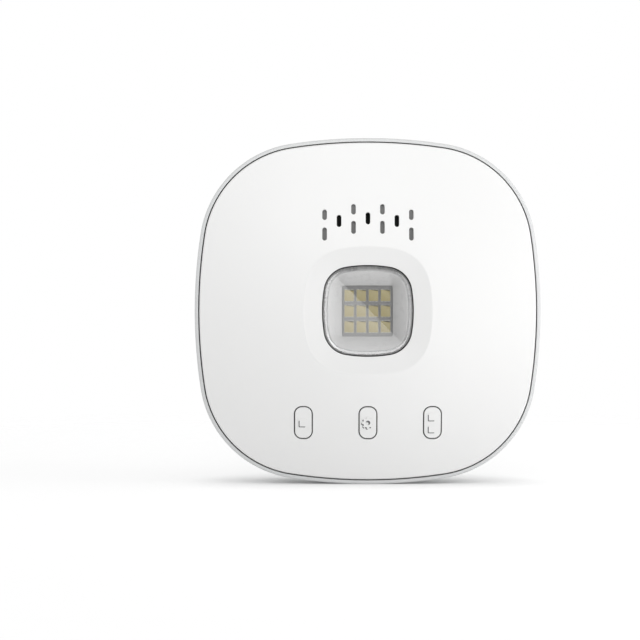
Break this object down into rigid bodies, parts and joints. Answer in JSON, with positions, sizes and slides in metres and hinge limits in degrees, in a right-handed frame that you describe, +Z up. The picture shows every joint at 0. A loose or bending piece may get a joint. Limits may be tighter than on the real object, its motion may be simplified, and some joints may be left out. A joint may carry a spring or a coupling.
{
  "type": "garage door wall control panel",
  "caption": "Crowned square wall panel with a signal lamp window in a dish, a slotted sound grille and push buttons, hung on a screwed wall bracket.",
  "frame": {"origin": "centre of the wall bracket's face that lies on the wall", "axes": "+Y into the wall, so the front faces -Y; +Z up; +X to the right as seen from the front"},
  "size_m": [0.146, 0.0334, 0.146],
  "materials": {
    "cover_white": "satin white moulded plastic",
    "housing_grey": "fine textured light grey moulded plastic",
    "button_white": "satin white moulded plastic",
    "bracket_white": "textured off-white moulded plastic",
    "window_clear": "clear polished polycarbonate",
    "foam_black": "closed-cell foam",
    "reflector_white": "smooth white moulded plastic",
    "lamp_board_white": "pale solder mask",
    "lamp_package": "white ceramic-filled plastic",
    "lamp_phosphor": "yellowish silicone over the chips",
    "screw_steel": "zinc plated",
    "connector_black": "black moulded plastic",
    "contact_gold": "plated contact metal",
    "backing_grey": "dark grey moulded plastic",
    "mesh_black": "woven acoustic mesh",
    "buzzer_black": "black moulded plastic",
    "disc_brass": "plain brass",
    "board_green": "green solder mask",
    "radio_board_black": "black solder mask",
    "shield_tin": "tinned sheet",
    "chip_black": "moulded epoxy",
    "can_aluminium": "bare aluminium can",
    "ferrite_grey": "sintered ferrite",
    "crystal_can": "nickel plated can",
    "ceramic_tan": "fired ceramic with tinned ends",
    "antenna_wire": "enamelled copper wire",
    "switch_black": "black moulded plastic",
    "switch_steel": "stamped steel"
  },
  "bodies": {
    "bracket": {"wall_bracket": "bracket_white"},
    "panel": {"rear_housing": "housing_grey", "front_cover": "cover_white", "case_screws": "screw_steel", "light_window": "window_clear", "window_gasket": "foam_black", "light_reflector": "reflector_white", "led_board": "lamp_board_white", "led_packages": "lamp_package", "led_phosphors": "lamp_phosphor", "lamp_screws": "screw_steel", "board_header": "connector_black", "board_header_pins": "contact_gold", "grille_backing": "backing_grey", "grille_mesh": "mesh_black", "sound_ring": "foam_black", "buzzer_case": "buzzer_black", "buzzer_disc": "disc_brass", "buzzer_pins": "contact_gold", "main_board": "board_green", "board_screws": "screw_steel", "radio_board": "radio_board_black", "radio_shield": "shield_tin", "control_chips": "chip_black", "board_capacitors": "can_aluminium", "board_coil": "ferrite_grey", "board_crystal": "crystal_can", "chip_parts": "ceramic_tan", "radio_antenna": "antenna_wire", "power_jack": "connector_black", "power_jack_pin": "contact_gold", "switch_bases": "switch_black", "switch_covers": "switch_steel"},
    "left_button": {"left_button_cap": "button_white", "left_switch_plunger": "switch_black"},
    "settings_button": {"settings_button_cap": "button_white", "settings_switch_plunger": "switch_black"},
    "right_button": {"right_button_cap": "button_white", "right_switch_plunger": "switch_black"}
  },
  "joints": [
    {"name": "panel_slide", "type": "slide", "parent": "bracket", "child": "panel", "axis": [0, 0, 1], "range_m": [0, 0.01]},
    {"name": "left_button_press", "type": "slide", "parent": "panel", "child": "left_button", "axis": [0, 1, 0], "range_m": [0, 0.0005], "stiffness_N_per_m": 1500, "springref_m": -0.0005},
    {"name": "settings_button_press", "type": "slide", "parent": "panel", "child": "settings_button", "axis": [0, 1, 0], "range_m": [0, 0.0005], "stiffness_N_per_m": 1500, "springref_m": -0.0005},
    {"name": "right_button_press", "type": "slide", "parent": "panel", "child": "right_button", "axis": [0, 1, 0], "range_m": [0, 0.0005], "stiffness_N_per_m": 1500, "springref_m": -0.0005}
  ]
}
